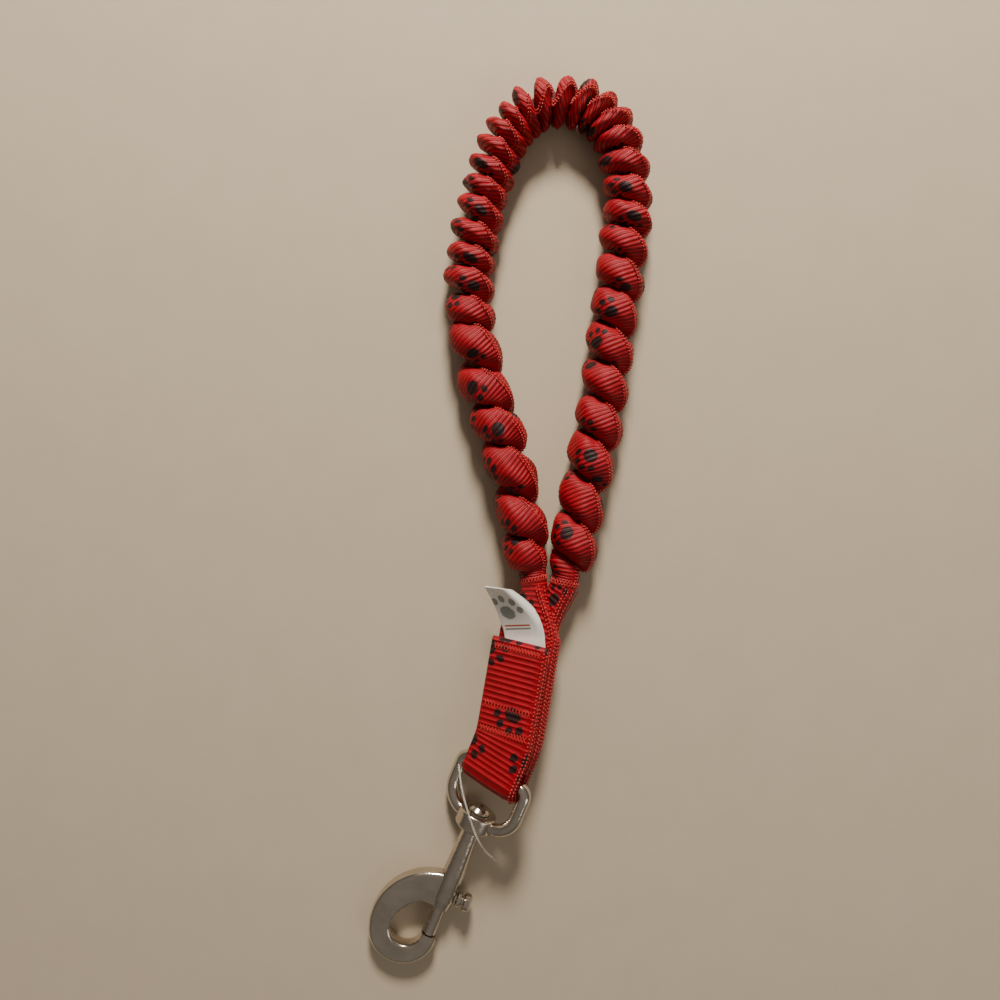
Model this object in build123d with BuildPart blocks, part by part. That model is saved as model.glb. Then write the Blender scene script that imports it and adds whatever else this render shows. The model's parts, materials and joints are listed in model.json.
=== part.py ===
from build123d import *

import os
from math import asin, atan2, cos, hypot, radians, sin, sqrt, tan

# A short bungee training leash. A gathered webbing sleeve on an elastic core makes the hand loop. Its
# two ends are sewn flat into one strap stack, and the strap's bight holds a swivel bolt snap.
# Millimetres. +Y runs from the snap to the top of the loop, +Z is up, and the leash lies on Z = 0.

# ---- Driving dimensions --------------------------------------------------------------------------

# Hand loop
sleeve_d = 14.4  # gathered sleeve, outside
neck_d = 8.6  # the sleeve where it is drawn in to the sewn leg ends
neck_taper = 11.2  # length over which it is drawn in
neck_straight = 2.2  # plain end of the neck, under its bar tack
jacket_d = 5.6  # woven jacket of the elastic core
rubber_d = 4.4  # rubber strands inside the jacket
core_clearance = 0.3  # jacket to sleeve, radial
jacket_clearance = 0.05  # rubber to jacket, radial
loop_route = [  # centre line from the left leg's sewn end round to the right leg's
    (8.3, -18.2),
    (4.0, 6.0),
    (-2.6, 30.0),
    (-10.6, 54.0),
    (-13.4, 78.0),
    (-9.4, 101.0),
    (-4.4, 118.0),
    (2.6, 131.4),
    (13.5, 137.4),
    (27.5, 135.2),
    (36.3, 124.5),
    (39.3, 106.0),
    (36.0, 82.0),
    (32.8, 57.5),
    (29.2, 32.5),
    (23.4, 6.0),
    (17.9, -19.5),
]

# Strap stack
strap_width = 19.6  # sewn tubular webbing, flat
strap_t = 3.0  # its two plies
stack_heading = 9.8  # degrees clockwise from +Y, seen from above
stack_pitch = -1.7  # degrees, negative where it sinks towards the loop
stack_roll = 28.0  # degrees, right-hand edge up
strap_bend = 14.0  # degrees, in the strap's own plane, from the stack to the eye
bend_distance = 12.0  # from the bar's centre to that bend
front_top = 43.0  # end of the folded front run, along the stack from the bar
stack_top = 45.5  # where the two legs leave the stack
layer_gap = 0.05  # between sewn layers
run_overlap = 2.0  # flat runs over the bight's straight legs
bight_margin = 1.0  # bight's legs short of the strap's bend
middle_gap = 2.0  # bar to the end of the left leg's strap
fold_end = 0.48  # share of a strap's depth that its rounded edge takes
leg_fan = 7.6  # beyond the stack, where a leg is half gathered
left_fan = {"across": -1.7, "up": 0.15, "width": 9.6, "depth": 5.8}
right_fan = {"across": 4.8, "up": -1.6, "width": 12.0, "depth": 3.4}
tack_width = 17.6  # bar tack across the strap
tack_length = 2.4  # along the strap
tack_t = 0.35  # proud of the strap
tack_corner = 0.7
tack_stations = {"upper": 40.2, "middle": 22.0, "lower": 14.0}
leg_tack_length = 1.8
seam_width = 1.0  # row of edge stitches on each layer
seam_t = 0.3
seam_margin = 0.5  # seam short of each layer's end
label_width = 14.0
label_t = 0.6  # two plies of satin ribbon
label_gap = 0.25  # under the front run
label_tab = 8.0  # sewn in between the layers
label_slack = 1.4  # flat beyond the front run before it lifts
label_reach = 16.5  # beyond that
label_lift = 25.0  # degrees
label_turn = 14.0  # degrees to the left

# Swivel eye
bar_d = 4.2  # cast rod of the eye
bar_clearance = 0.15  # bar to strap, radial
eye_side_clearance = 0.4  # strap edge to rod
eye_drop = 11.7  # bar to hub, inside
bar_corner_r = 2.5  # centre line
hub_corner_r = 7.5  # centre line
hub_d = 12.5
hub_height = 5.5
hub_edge = 0.9  # rounding of the hub
shank_d = 4.0
swivel_clearance = 0.08  # shank to hub, radial
swivel_end_play = 0.15  # at each face of the hub
rivet_head_d = 7.2
rivet_head_h = 1.5
rivet_edge = 0.9
dimple_d = 2.6
dimple_depth = 0.5
filament_d = 0.6  # clear tag loop left on the eye
filament_route = [  # in the eye's plane: right, towards the bar, out of the plane
    (-11.4, -3.2, 2.9),
    (-8.0, -6.6, 4.9),
    (-3.2, -10.4, 6.9),
    (1.4, -14.2, 7.6),
    (5.2, -18.6, 6.4),
    (7.8, -22.6, 2.6),
    (9.0, -25.6, -2.4),
    (9.4, -28.4, -6.8),
]

# Bolt snap
collar_d = 7.6
collar_height = 1.6
collar_edge = 0.5
barrel_top_d = 5.8
barrel_d = 7.2
barrel_end_d = 6.2
barrel_length = 27.3  # collar to barrel end
barrel_swell = 15.0  # collar to its full diameter
barrel_nose = 3.0  # taper at its end
shank_grip = 4.0  # rivet shank inside the barrel
bolt_d = 4.2
bolt_clearance = 0.08  # radial
gate_width = 10.2  # barrel end to hook tip
gate_gap = 0.25  # bolt to hook tip when closed
bolt_tail = 9.4  # bolt inside the barrel when closed
hook_t = 5.0
hook_bow_r = 11.2  # outer arc round the bottom of the hook
hook_bow_offset = 8.3  # that arc's centre from the barrel's axis
hook_bow_drop = 1.9  # and below the hook tip
hook_hole_r = 5.2  # inner arc
hook_hole_offset = 7.5
hook_hole_drop = 1.0
hole_top_width = 2.2  # flat at the hole's upper end
hole_top_rise = 0.6  # above the barrel's end
hook_shoulder_r = 20.2  # outer arc from the barrel to the bow
hook_edge = 1.5  # rounding of its flat faces, outside
hook_hole_edge = 1.0  # and round the hole
tip_d = 4.8
tip_length = 4.6
tip_edge = 0.5
gate_margin = 0.2  # gate cut past the inside of the tip
knob_height = 4.2  # knob centre above the barrel end
knob_stem_d = 2.4
knob_inner_d = 4.8
knob_outer_d = 5.8
knob_neck_d = 3.4
knob_profile = {  # distances from the knob's inner face
    "inner_edge": 0.3,
    "inner": 1.5,
    "neck_from": 1.9,
    "neck_to": 2.3,
    "outer": 2.8,
    "outer_edge": 4.4,
    "end": 5.0,
}
knob_face_edge = 0.8
knob_stem_clearance = 0.15
slot_end_play = 0.1
knob_face_gap = 0.3  # barrel to knob
bolt_travel = 10.0
spring_clearance = 0.23
spring_wire = 0.5
spring_turns = 7
spring_end_gap = 0.1

# ---- Frames --------------------------------------------------------------------------------------

heading, pitch = radians(stack_heading), radians(stack_pitch)
roll, bend = radians(stack_roll), radians(strap_bend)

stack_along = Vector(sin(heading) * cos(pitch), cos(heading) * cos(pitch), sin(pitch))
level_right = Vector(cos(heading), -sin(heading), 0)
stack_across = level_right * cos(roll) + level_right.cross(stack_along) * sin(roll)
stack_normal = stack_across.cross(stack_along)
eye_along = stack_along * cos(bend) + stack_across * sin(bend)
bar_axis = stack_across * cos(bend) - stack_along * sin(bend)

strap_inside = bar_d / 2 + bar_clearance  # from the stack's middle plane to a run's inner face
strap_outside = strap_inside + strap_t

# The bight's low corner and the tack under it just clear the ground.
bight_reach = (strap_outside + tack_t) * sqrt(1 - bar_axis.Z**2)
bar_height = strap_width / 2 * abs(bar_axis.Z) + bight_reach
bar_centre = Vector(-4.3, -78.9, bar_height)

stack = Plane(origin=bar_centre, x_dir=stack_across, z_dir=stack_normal)
bight_side = Plane(origin=bar_centre, x_dir=eye_along, z_dir=bar_axis).offset(-strap_width / 2)

# The snap's axis leaves the bar square to it and comes down so that the hook lies on the ground.
hub_top = bar_d / 2 + eye_drop
hub_bottom = hub_top + hub_height
collar_top = hub_bottom + swivel_end_play
barrel_end = collar_top + collar_height + barrel_length
hook_tip = barrel_end + gate_width
hook_bottom = hook_tip + hook_bow_drop + hook_bow_r
fall = (bar_height - hook_t / 2) / hook_bottom
swing_reach = hypot(eye_along.Z, stack_normal.Z)
eye_tilt = asin(-fall / swing_reach) - atan2(-eye_along.Z, stack_normal.Z)
snap_axis = stack_normal * sin(eye_tilt) - eye_along * cos(eye_tilt)
snap_level = snap_axis.cross(Vector(0, 0, 1)).normalized() * -1

eye = Plane(origin=bar_centre, x_dir=bar_axis, z_dir=bar_axis.cross(snap_axis * -1))
snap = Plane(origin=bar_centre, x_dir=snap_level, z_dir=snap_level.cross(snap_axis * -1))
barrel_axis = Axis(bar_centre, snap_axis)


def square_to_axis(distance):
    """A plane square to the snap's axis, facing the hook, at a distance from the bar's centre."""
    return Plane(origin=bar_centre + snap_axis * distance, x_dir=snap_level, z_dir=snap_axis)


# ---- Helpers -------------------------------------------------------------------------------------


def bend_radii(points):
    """Each inner point's radius: 0.45 of its shorter run over the tangent of half its turn."""
    radii = []
    for before, corner, after in zip(points, points[1:], points[2:]):
        run_in = Vector(corner) - Vector(before)
        run_out = Vector(after) - Vector(corner)
        half_turn = radians(run_in.get_angle(run_out)) / 2
        radii.append(0.45 * min(run_in.length, run_out.length) / tan(half_turn))
    return radii


def strip_corners(start, end, width):
    """A strap's plan in the stack's plane, from start on the eye's line, round the bend, to end."""
    half = width / 2
    along = Vector(sin(bend), cos(bend))
    across = Vector(cos(bend), -sin(bend))
    corner = along * bend_distance
    mitre = Vector(half, -half * tan(bend / 2))
    square = Vector(half, 0)
    finish = Vector(corner.X, end)
    first = along * start
    return [
        first + across * half,
        corner + mitre,
        finish + square,
        finish - square,
        corner - mitre,
        first - across * half,
    ]


def in_stack(x, y, z):
    return stack.from_local_coords(Vector(x, y, z))


def leg_section(centre, facing):
    """A plane square to a leg, with its x direction kept along the strap's width."""
    across = (stack_across - facing * stack_across.dot(facing)).normalized()
    return Plane(origin=centre, x_dir=across, z_dir=facing)


def fan_section(fan, height):
    """Where a leg is half gathered, between the flat stack and its neck."""
    centre = in_stack(stack_x + fan["across"], stack_top + leg_fan, height + fan["up"])
    return leg_section(centre, stack_along)


def write(part, name):
    part.label = name
    export_step(part, f"parts/{name}.step")


os.makedirs("parts", exist_ok=True)

# ---- Hand loop -----------------------------------------------------------------------------------

sleeve_height = sleeve_d / 2
route = [Vector(x, y, sleeve_height) for x, y in loop_route]
route_radii = bend_radii(route)
print("loop radii", [round(radius, 1) for radius in route_radii])

left_end, right_end = route[0], route[-1]
left_in = (route[1] - route[0]).normalized()
right_in = (route[-2] - route[-1]).normalized()
neck_length = neck_taper + neck_straight
sleeve_route = [left_end + left_in * neck_length, *route[1:-1], right_end + right_in * neck_length]

with BuildPart() as loop_sleeve:
    with BuildLine() as sleeve_line:
        FilletPolyline(*sleeve_route, radius=route_radii)
    with BuildSketch(Plane(origin=sleeve_route[0], z_dir=left_in)):
        Circle(sleeve_d / 2)
    sweep(path=sleeve_line.wires()[0])
    for end, inward in ((left_end, left_in), (right_end, right_in)):
        neck = Plane(origin=end, z_dir=inward)
        with BuildSketch(neck):
            Circle(neck_d / 2)
        extrude(amount=neck_straight)
        with BuildSketch(neck.offset(neck_straight)):
            Circle(neck_d / 2)
        with BuildSketch(neck.offset(neck_length)):
            Circle(sleeve_d / 2)
        loft(ruled=True)
    with BuildLine() as core_line:
        FilletPolyline(*route, radius=route_radii)
    core_wire = core_line.wires()[0]
    with BuildSketch(Plane(origin=left_end, z_dir=left_in)):
        Circle(jacket_d / 2 + core_clearance)
    sweep(path=core_wire, mode=Mode.SUBTRACT)
write(loop_sleeve.part, "loop_sleeve")

with BuildPart() as bungee_jacket:
    with BuildSketch(Plane(origin=left_end, z_dir=left_in)):
        Circle(jacket_d / 2)
        Circle(rubber_d / 2 + jacket_clearance, mode=Mode.SUBTRACT)
    sweep(path=core_wire)
write(bungee_jacket.part, "bungee_jacket")

with BuildPart() as bungee_rubber:
    with BuildSketch(Plane(origin=left_end, z_dir=left_in)):
        Circle(rubber_d / 2)
    sweep(path=core_wire)
write(bungee_rubber.part, "bungee_rubber")
print("core length", round(core_wire.length, 1))

# ---- Strap stack ---------------------------------------------------------------------------------

stack_x = bend_distance * sin(bend)  # the stack's middle line above the bend

# The right leg's strap passes behind, round the bar and up the front, where its end is folded in.
bight_leg = bend_distance - strap_width / 2 * tan(bend / 2) - bight_margin
back_middle = -(strap_inside + strap_t / 2)

with BuildPart() as eye_strap:
    with BuildSketch(bight_side):
        with BuildLine():
            Line((bight_leg, strap_outside), (0, strap_outside))
            ThreePointArc((0, strap_outside), (-strap_outside, 0), (0, -strap_outside))
            Line((0, -strap_outside), (bight_leg, -strap_outside))
            Line((bight_leg, -strap_outside), (bight_leg, -strap_inside))
            Line((bight_leg, -strap_inside), (0, -strap_inside))
            ThreePointArc((0, -strap_inside), (-strap_inside, 0), (0, strap_inside))
            Line((0, strap_inside), (bight_leg, strap_inside))
            Line((bight_leg, strap_inside), (bight_leg, strap_outside))
        make_face()
    extrude(amount=strap_width)
    with BuildSketch(stack.offset(strap_inside)):
        with BuildLine():
            Polyline(*strip_corners(bight_leg - run_overlap, front_top, strap_width), close=True)
        make_face()
    extrude(amount=strap_t)
    with BuildSketch(stack.offset(-strap_outside)):
        with BuildLine():
            Polyline(*strip_corners(bight_leg - run_overlap, stack_top, strap_width), close=True)
        make_face()
    extrude(amount=strap_t)
    with BuildSketch(leg_section(in_stack(stack_x, stack_top, back_middle), stack_along)):
        RectangleRounded(strap_width, strap_t, strap_t * fold_end)
    with BuildSketch(fan_section(right_fan, back_middle)):
        RectangleRounded(right_fan["width"], right_fan["depth"], right_fan["depth"] * fold_end)
    with BuildSketch(leg_section(right_end, right_in)):
        RectangleRounded(neck_d, neck_d, neck_d * fold_end)
    loft()
write(eye_strap.part, "eye_strap")

# The left leg's strap lies between the two runs and ends short of the bar.
middle_low = -strap_inside + layer_gap
middle_middle = middle_low + strap_t / 2

with BuildPart() as left_leg_strap:
    with BuildSketch(stack.offset(middle_low)):
        with BuildLine():
            Polyline(*strip_corners(bar_d / 2 + middle_gap, stack_top, strap_width), close=True)
        make_face()
    extrude(amount=strap_t)
    with BuildSketch(leg_section(in_stack(stack_x, stack_top, middle_middle), stack_along)):
        RectangleRounded(strap_width, strap_t, strap_t * fold_end)
    with BuildSketch(fan_section(left_fan, middle_middle)):
        RectangleRounded(left_fan["width"], left_fan["depth"], left_fan["depth"] * fold_end)
    with BuildSketch(leg_section(left_end, left_in)):
        RectangleRounded(neck_d, neck_d, neck_d * fold_end)
    loft()
write(left_leg_strap.part, "left_leg_strap")

# ---- Stitching, label ----------------------------------------------------------------------------

for station, y in tack_stations.items():
    with BuildPart() as bar_tack:
        for face, side in ((strap_outside, 1), (-strap_outside, -1)):
            with BuildSketch(stack.offset(face)):
                with Locations((stack_x, y)):
                    RectangleRounded(tack_width, tack_length, tack_corner)
            extrude(amount=tack_t * side)
    write(bar_tack.part, f"bar_tack_{station}")

for side, end, inward in (("left", left_end, left_in), ("right", right_end, right_in)):
    band_start = (neck_straight - leg_tack_length) / 2
    with BuildPart() as leg_tack:
        with BuildSketch(leg_section(end + inward * band_start, inward)):
            Circle(neck_d / 2 + tack_t)
            Circle(neck_d / 2, mode=Mode.SUBTRACT)
        extrude(amount=leg_tack_length)
    write(leg_tack.part, f"{side}_leg_tack")

seam_from = bend_distance + strap_width / 2 * tan(bend / 2)
layer_middles = {
    front_top: strap_inside + strap_t / 2,
    stack_top: middle_middle,
    stack_top - seam_margin: back_middle,
}
with BuildPart() as edge_seam:
    for seam_to, height in layer_middles.items():
        edge_centre = in_stack(stack_x + strap_width / 2, (seam_from + seam_to) / 2, height)
        with BuildSketch(Plane(origin=edge_centre, x_dir=stack_along, z_dir=stack_across)):
            Rectangle(seam_to - seam_from - 2 * seam_margin, seam_width)
        extrude(amount=seam_t)
write(edge_seam.part, "edge_seam")

# The label's tab is held between the front run and the left leg, and its flag rises to the left.
turn, lift = radians(label_turn), radians(label_lift)
label_under = strap_inside - label_t - label_gap
label_root = in_stack(stack_x + 1.5, front_top - label_tab, label_under)
label_across = stack_across * cos(turn) + stack_along * sin(turn)
label_side = Plane(
    origin=label_root - label_across * label_width / 2,
    x_dir=stack_normal.cross(label_across),
    z_dir=label_across,
)
flag_start = label_tab + label_slack + label_width / 2 * tan(turn)
with BuildPart() as sewn_label:
    with BuildSketch(label_side):
        with BuildLine():
            fold = Polyline(
                (0, label_t / 2),
                (flag_start, label_t / 2),
                (flag_start + label_reach * cos(lift), label_t / 2 + label_reach * sin(lift)),
            )
            offset(amount=label_t / 2, side=Side.BOTH)
        make_face()
    extrude(amount=label_width)
write(sewn_label.part, "sewn_label")

# ---- Swivel eye ----------------------------------------------------------------------------------

rod_x = strap_width / 2 + eye_side_clearance + bar_d / 2
rod_foot = (hub_top + hub_bottom) / 2
hub_wall = (shank_d / 2 + swivel_clearance + hub_d / 2) / 2

with BuildPart() as swivel_eye:
    with BuildLine(eye) as rod_line:
        FilletPolyline(
            (-hub_wall, -rod_foot),
            (-rod_x, -rod_foot),
            (-rod_x, 0),
            (rod_x, 0),
            (rod_x, -rod_foot),
            (hub_wall, -rod_foot),
            radius=[hub_corner_r, bar_corner_r, bar_corner_r, hub_corner_r],
        )
    with BuildSketch(Plane(origin=rod_line.line @ 0, z_dir=rod_line.line % 0)):
        Circle(bar_d / 2)
    sweep(path=rod_line.wires()[0])
    with BuildSketch(eye):
        with Locations((0, -rod_foot)):
            Rectangle(hub_d, hub_height)
            RectangleRounded(hub_d, hub_height, hub_edge, mode=Mode.INTERSECT)
        with Locations((-hub_d / 2, -rod_foot)):
            Rectangle(hub_d, hub_height, mode=Mode.SUBTRACT)
    revolve(axis=barrel_axis)
    with BuildSketch(square_to_axis(hub_top - 1)):
        Circle(shank_d / 2 + swivel_clearance)
    extrude(amount=hub_height + 2, mode=Mode.SUBTRACT)
write(swivel_eye.part, "swivel_eye")

with BuildPart() as tag_filament:
    with BuildLine(eye) as filament_line:
        FilletPolyline(*filament_route, radius=bend_radii(filament_route))
    with BuildSketch(Plane(origin=filament_line.line @ 0, z_dir=filament_line.line % 0)):
        Circle(filament_d / 2)
    sweep(path=filament_line.wires()[0])
write(tag_filament.part, "tag_filament")
print("filament", round(filament_line.wires()[0].length, 1), [round(r, 1) for r in bend_radii(filament_route)])

# ---- Bolt snap -----------------------------------------------------------------------------------

head_face = hub_top - swivel_end_play
head_top = head_face - rivet_head_h
shank_end = collar_top + collar_height + shank_grip

with BuildPart() as swivel_rivet:
    with BuildSketch(snap):
        with BuildLine():
            Polyline(
                (0, -(head_top + dimple_depth)),
                (dimple_d / 2, -head_top),
                (rivet_head_d / 2 - rivet_edge, -head_top),
                (rivet_head_d / 2, -(head_top + rivet_edge)),
                (rivet_head_d / 2, -head_face),
                (shank_d / 2, -head_face),
                (shank_d / 2, -shank_end),
                (0, -shank_end),
                close=True,
            )
        make_face()
    revolve(axis=barrel_axis)
write(swivel_rivet.part, "swivel_rivet")

bore_d = bolt_d + 2 * bolt_clearance
barrel_top = collar_top + collar_height
knob_at = barrel_end - knob_height
slot_width = knob_stem_d + 2 * knob_stem_clearance

# The hook's flat plate: a shoulder arc about the axis, then the bow, in the snap's plane.
bow_centre = Vector(-hook_bow_offset, -(hook_tip + hook_bow_drop))
shoulder_join = hook_shoulder_r - hook_bow_r
shoulder_rise = sqrt(shoulder_join**2 - hook_bow_offset**2)
shoulder_centre = Vector(0, bow_centre.Y + shoulder_rise)
join_out = (bow_centre - shoulder_centre).normalized()
hook_join = bow_centre + join_out * hook_bow_r
shoulder_top = Vector(0, shoulder_centre.Y + hook_shoulder_r)
shoulder_middle = shoulder_centre + (join_out + Vector(0, 1)).normalized() * hook_shoulder_r
bow_bottom = bow_centre - Vector(0, hook_bow_r)
bow_end = bow_centre + Vector(hook_bow_r, 0)
tip_inside = hook_hole_offset - hook_hole_r
hole_centre = Vector(-hook_hole_offset, -(hook_tip + hook_hole_drop))
hole_left = hole_centre.X - hook_hole_r
hole_top = -(barrel_end - hole_top_rise)

with BuildSketch() as hook_plan:
    with BuildLine():
        ThreePointArc(shoulder_top, shoulder_middle, hook_join)
        ThreePointArc(hook_join, bow_bottom, bow_end)
        Polyline(bow_end, (tip_d / 2, -hook_tip), (0, -hook_tip), (0, shoulder_top.Y))
    make_face()
    with BuildLine():
        Line((-tip_inside, hole_top), (-tip_inside, hole_centre.Y))
        ThreePointArc(
            (-tip_inside, hole_centre.Y),
            (hole_centre.X, hole_centre.Y - hook_hole_r),
            (hole_left, hole_centre.Y),
        )
        TangentArc((hole_left, hole_centre.Y), (-tip_inside - hole_top_width, hole_top), tangent=(0, 1))
        Line((-tip_inside - hole_top_width, hole_top), (-tip_inside, hole_top))
    make_face(mode=Mode.SUBTRACT)
    with Locations((0, -(barrel_end + hook_tip) / 2)):
        Rectangle(2 * (tip_inside + gate_margin), gate_width, mode=Mode.SUBTRACT)


def hook_rims(outside):
    """The plate's curved edges on its two flat faces, outside or round the hole."""
    arcs = snap_body.edges().filter_by(GeomType.CIRCLE)
    arcs = [arc for arc in arcs if abs(snap.to_local_coords(arc.center()).Z) > hook_t / 2 - 0.01]
    outer_radii = (hook_bow_r, hook_shoulder_r)
    return [arc for arc in arcs if any(abs(arc.radius - r) < 0.01 for r in outer_radii) == outside]


with BuildPart() as snap_body:
    with BuildSketch(snap):
        add(hook_plan.sketch)
    extrude(amount=hook_t / 2, both=True)
    fillet(hook_rims(outside=True), hook_edge)
    fillet(hook_rims(outside=False), hook_hole_edge)
    with BuildSketch(snap):
        with BuildLine():
            Polyline(
                (0, -collar_top),
                (collar_d / 2 - collar_edge, -collar_top),
                (collar_d / 2, -(collar_top + collar_edge)),
                (collar_d / 2, -(barrel_top - collar_edge)),
                (barrel_top_d / 2, -barrel_top),
                (barrel_d / 2, -(barrel_top + barrel_swell)),
                (barrel_d / 2, -(barrel_end - barrel_nose)),
                (barrel_end_d / 2, -barrel_end),
                (0, -barrel_end),
                close=True,
            )
        make_face()
    revolve(axis=barrel_axis)
    with BuildSketch(snap):
        with BuildLine():
            Polyline(
                (0, -hook_tip),
                (bolt_d / 2, -hook_tip),
                (tip_d / 2, -(hook_tip + tip_edge)),
                (tip_d / 2, -(hook_tip + tip_length)),
                (0, -(hook_tip + tip_length)),
                close=True,
            )
        make_face()
    revolve(axis=barrel_axis)
    with BuildSketch(square_to_axis(collar_top)):
        Circle(shank_d / 2)
    extrude(amount=shank_end - collar_top, mode=Mode.SUBTRACT)
    with BuildSketch(square_to_axis(shank_end)):
        Circle(bore_d / 2)
    extrude(amount=barrel_end - shank_end + 0.01, mode=Mode.SUBTRACT)
    with BuildSketch(Plane(origin=snap.origin, x_dir=snap_axis, z_dir=snap_level)):
        with Locations((knob_at - bolt_travel / 2, 0)):
            SlotOverall(bolt_travel + slot_width + 2 * slot_end_play, slot_width)
    extrude(amount=barrel_d, mode=Mode.SUBTRACT)
write(snap_body.part, "snap_body")

bolt_front = hook_tip - gate_gap
bolt_back = barrel_end - bolt_tail

with BuildPart() as bolt:
    with BuildSketch(square_to_axis(bolt_back)):
        Circle(bolt_d / 2)
    extrude(amount=bolt_front - bolt_back)
    with BuildSketch(Plane(origin=square_to_axis(knob_at).origin, x_dir=snap_axis, z_dir=snap_level)):
        Circle(knob_stem_d / 2)
    extrude(amount=bolt_d, mode=Mode.SUBTRACT)
write(bolt.part, "bolt")

knob_root = barrel_d / 2 + knob_face_gap
knob_x = {name: knob_root + distance for name, distance in knob_profile.items()}
knob_centre = square_to_axis(knob_at).origin
knob_axis = Axis(knob_centre, snap_level)
knob_face = Plane(origin=knob_centre, x_dir=snap_level, z_dir=snap.z_dir)

with BuildPart() as thumb_knob:
    with BuildSketch(knob_face):
        with BuildLine():
            Polyline(
                (0, 0),
                (0, knob_stem_d / 2),
                (knob_root, knob_stem_d / 2),
                (knob_x["inner_edge"], knob_inner_d / 2),
                (knob_x["inner"], knob_inner_d / 2),
                (knob_x["neck_from"], knob_neck_d / 2),
                (knob_x["neck_to"], knob_neck_d / 2),
                (knob_x["outer"], knob_outer_d / 2),
                (knob_x["outer_edge"], knob_outer_d / 2),
                (knob_x["end"], knob_outer_d / 2 - knob_face_edge),
                (knob_x["end"], 0),
                close=True,
            )
        make_face()
    revolve(axis=knob_axis)
write(thumb_knob.part, "thumb_knob")

spring_length = bolt_back - shank_end - 2 * spring_end_gap - spring_wire
spring_od = bolt_d + 2 * bolt_clearance - 2 * spring_clearance
spring_r = (spring_od - spring_wire) / 2
spring_base = square_to_axis(shank_end + spring_end_gap + spring_wire / 2).origin

with BuildPart() as return_spring:
    with BuildLine() as coil:
        Helix(spring_length / spring_turns, spring_length, spring_r, spring_base, snap_axis)
    with BuildSketch(Plane(origin=coil.line @ 0, z_dir=coil.line % 0)):
        Circle(spring_wire / 2)
    sweep(path=coil.wires()[0], is_frenet=True)
write(return_spring.part, "return_spring")

print("bar", [round(v, 2) for v in bar_centre], "axis", [round(v, 4) for v in bar_axis])
print("snap axis", [round(v, 4) for v in snap_axis], "hook bottom", round(hook_bottom, 1))
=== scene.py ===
import json
from math import cos, pi, radians, sin, tan

import bpy
import numpy as np
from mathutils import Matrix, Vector, noise


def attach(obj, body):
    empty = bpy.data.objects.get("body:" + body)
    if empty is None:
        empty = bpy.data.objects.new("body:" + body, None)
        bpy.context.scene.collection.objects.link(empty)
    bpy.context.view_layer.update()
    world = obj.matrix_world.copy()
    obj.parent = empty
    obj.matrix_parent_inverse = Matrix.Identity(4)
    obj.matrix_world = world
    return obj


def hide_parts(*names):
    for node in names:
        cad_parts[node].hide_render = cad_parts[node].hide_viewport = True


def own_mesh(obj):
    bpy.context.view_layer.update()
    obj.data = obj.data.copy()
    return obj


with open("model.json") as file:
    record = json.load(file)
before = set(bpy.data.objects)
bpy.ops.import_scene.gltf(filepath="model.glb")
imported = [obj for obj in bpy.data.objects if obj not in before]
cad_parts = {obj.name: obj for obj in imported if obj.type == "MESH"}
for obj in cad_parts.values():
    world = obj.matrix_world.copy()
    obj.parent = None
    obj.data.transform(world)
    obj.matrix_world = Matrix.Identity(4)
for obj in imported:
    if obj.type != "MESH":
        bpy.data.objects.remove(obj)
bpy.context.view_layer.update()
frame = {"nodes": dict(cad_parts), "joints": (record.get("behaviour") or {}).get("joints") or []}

MM = 0.001

# ---- Camera --------------------------------------------------------------------------------------

camera_place = Vector((-2.7, 8.2, 270.0)) * MM
focal_share = 0.815  # focal length over the sensor's width
sensor_width = 36.0

camera_data = bpy.data.cameras.new("camera")
camera_data.sensor_width = sensor_width
camera_data.lens = focal_share * sensor_width
camera_data.clip_start = 0.01
camera = bpy.data.objects.new("camera", camera_data)
camera.location = camera_place
bpy.context.scene.collection.objects.link(camera)
bpy.context.scene.camera = camera

# ---- Sizes and frames, millimetres ---------------------------------------------------------------

sleeve_height = 7.2
loop_route = [
    (8.3, -18.2),
    (4.0, 6.0),
    (-2.6, 30.0),
    (-10.6, 54.0),
    (-13.4, 78.0),
    (-9.4, 101.0),
    (-4.4, 118.0),
    (2.6, 131.4),
    (13.5, 137.4),
    (27.5, 135.2),
    (36.3, 124.5),
    (39.3, 106.0),
    (36.0, 82.0),
    (32.8, 57.5),
    (29.2, 32.5),
    (23.4, 6.0),
    (17.9, -19.5),
]
filament_route = [  # in the eye's plane: right, towards the bar, out of the plane
    (-11.4, -3.2, 2.9),
    (-8.0, -6.6, 4.9),
    (-3.2, -10.4, 6.9),
    (1.4, -14.2, 7.6),
    (5.2, -18.6, 6.4),
    (7.8, -22.6, 2.6),
    (9.0, -25.6, -2.4),
    (9.4, -28.4, -6.8),
]
neck_r = 4.3
strap_width, strap_t = 19.6, 3.0
strap_inside = 2.25  # from the stack's middle plane to the front and back runs
front_top, stack_top = 43.0, 45.5
bend_distance = 12.0
rib_pitch = 1.77
strap_round = 2 * strap_width  # once round the tubular webbing

heading, pitch, roll, bend = radians(9.8), radians(-1.7), radians(28.0), radians(14.0)
joint = {j["name"]: j for j in frame["joints"]}
bar_centre = Vector(joint["eye_tilt"]["pos_m"]) / MM
bar_axis = Vector(joint["eye_tilt"]["axis"])
snap_axis = Vector(joint["snap_swivel"]["axis"])
stack_along = Vector((sin(heading) * cos(pitch), cos(heading) * cos(pitch), sin(pitch)))
level_right = Vector((cos(heading), -sin(heading), 0))
stack_across = level_right * cos(roll) + level_right.cross(stack_along) * sin(roll)
stack_normal = stack_across.cross(stack_along)
stack_x = bend_distance * sin(bend)
run_height = strap_inside + strap_t / 2


def in_stack(x, y, n):
    """A point given across, along and out of the strap stack, from the bar's centre."""
    return bar_centre + stack_across * x + stack_along * y + stack_normal * n


# ---- Helpers -------------------------------------------------------------------------------------


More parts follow.
